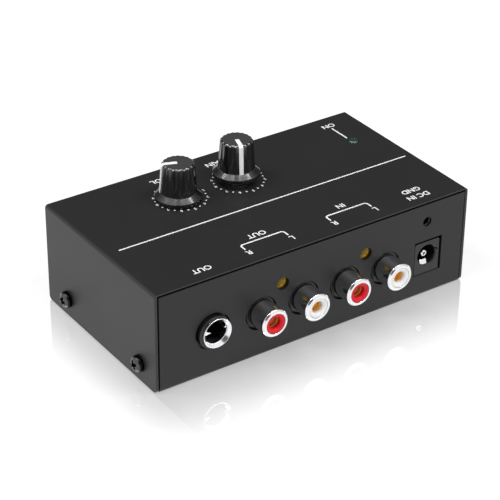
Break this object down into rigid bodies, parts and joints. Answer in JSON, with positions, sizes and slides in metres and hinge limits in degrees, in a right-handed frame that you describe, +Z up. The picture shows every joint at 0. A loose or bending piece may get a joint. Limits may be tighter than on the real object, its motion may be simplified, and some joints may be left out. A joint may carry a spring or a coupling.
{
  "type": "phono preamplifier",
  "caption": "Compact phono preamplifier: black folded steel case with fluted dial knobs on top and RCA sockets, a phone jack, a ground hole and a power inlet along one side.",
  "frame": {"origin": "centre of the case's underside, on the surface it stands on", "axes": "+X along the socket panel towards the power inlet, -Y out of the socket panel, +Z up through the controls"},
  "size_m": [0.108, 0.0639, 0.0438],
  "materials": {
    "black_case": "fine-textured satin black powder coat",
    "black_screw": "black oxide",
    "zinc": "bright zinc or tin plate",
    "board_green": "green solder mask on glass-filled epoxy",
    "black_housing": "moulded black plastic",
    "bright_chrome": "bright nickel or chrome plate",
    "dark_chrome": "bright nickel plate",
    "spring_brass": "plated spring brass",
    "gold_brass": "gold-flashed brass",
    "signal_red": "moulded red plastic",
    "signal_white": "moulded white plastic",
    "knob_black": "glossy black plastic",
    "pointer_white": "white inlay",
    "shaft_metal": "turned",
    "pot_plastic": "moulded dark green plastic",
    "phenolic": "printed resistive track on phenolic",
    "rotor_white": "moulded plastic",
    "lamp_green": "tinted clear epoxy, unlit",
    "chip_black": "moulded epoxy",
    "can_sleeve": "blue shrink sleeve on aluminium cans",
    "film_red": "dipped epoxy",
    "disc_ceramic": "lacquered disc",
    "resistor_lacquer": "lacquer over a film resistor"
  },
  "bodies": {
    "case": {"base_chassis": "black_case", "top_cover": "black_case", "end_screws": "black_screw", "board_standoffs": "zinc", "circuit_board": "board_green", "board_screws": "zinc", "phone_jack_housing": "black_housing", "phone_jack_ferrule": "bright_chrome", "phone_jack_tip_spring": "spring_brass", "phone_jack_ring_spring": "spring_brass", "phone_jack_sleeve_spring": "spring_brass", "output_rca_housing": "black_housing", "input_rca_housing": "black_housing", "output_rca_ground_plate": "zinc", "input_rca_ground_plate": "zinc", "output_right_shell": "dark_chrome", "output_left_shell": "dark_chrome", "input_right_shell": "dark_chrome", "input_left_shell": "dark_chrome", "output_right_insulator": "signal_red", "output_left_insulator": "signal_white", "input_right_insulator": "signal_red", "input_left_insulator": "signal_white", "output_right_contact": "gold_brass", "output_left_contact": "gold_brass", "input_right_contact": "gold_brass", "input_left_contact": "gold_brass", "rca_rivets": "gold_brass", "dc_jack_housing": "black_housing", "dc_jack_pin": "bright_chrome", "dc_jack_spring": "bright_chrome", "ground_nut": "zinc", "power_led": "lamp_green", "led_spacer": "black_housing", "led_leads": "zinc", "volume_pot_housing": "pot_plastic", "volume_pot_bushing": "zinc", "volume_pot_tracks": "phenolic", "volume_pot_terminals": "zinc", "level_pot_housing": "pot_plastic", "level_pot_bushing": "zinc", "level_pot_tracks": "phenolic", "level_pot_terminals": "zinc", "opamp_chips": "chip_black", "electrolytic_capacitors": "can_sleeve", "film_capacitors": "film_red", "ceramic_capacitors": "disc_ceramic", "resistors": "resistor_lacquer", "voltage_regulator": "chip_black", "supply_diode": "chip_black"},
    "volume_control": {"volume_pot_rotor": "rotor_white", "volume_pot_shaft": "shaft_metal", "volume_knob": "knob_black", "volume_knob_pointer": "pointer_white"},
    "level_control": {"level_pot_rotor": "rotor_white", "level_pot_shaft": "shaft_metal", "level_knob": "knob_black", "level_knob_pointer": "pointer_white"}
  },
  "joints": [
    {"name": "volume_turn", "type": "hinge", "parent": "case", "child": "volume_control", "pos_m": [-0.0193, 0.0112, 0.031], "axis": [0, 0, 1], "range_deg": [-39, 261]},
    {"name": "level_turn", "type": "hinge", "parent": "case", "child": "level_control", "pos_m": [0.0001, 0.0112, 0.031], "axis": [0, 0, 1], "range_deg": [-132, 168]}
  ]
}
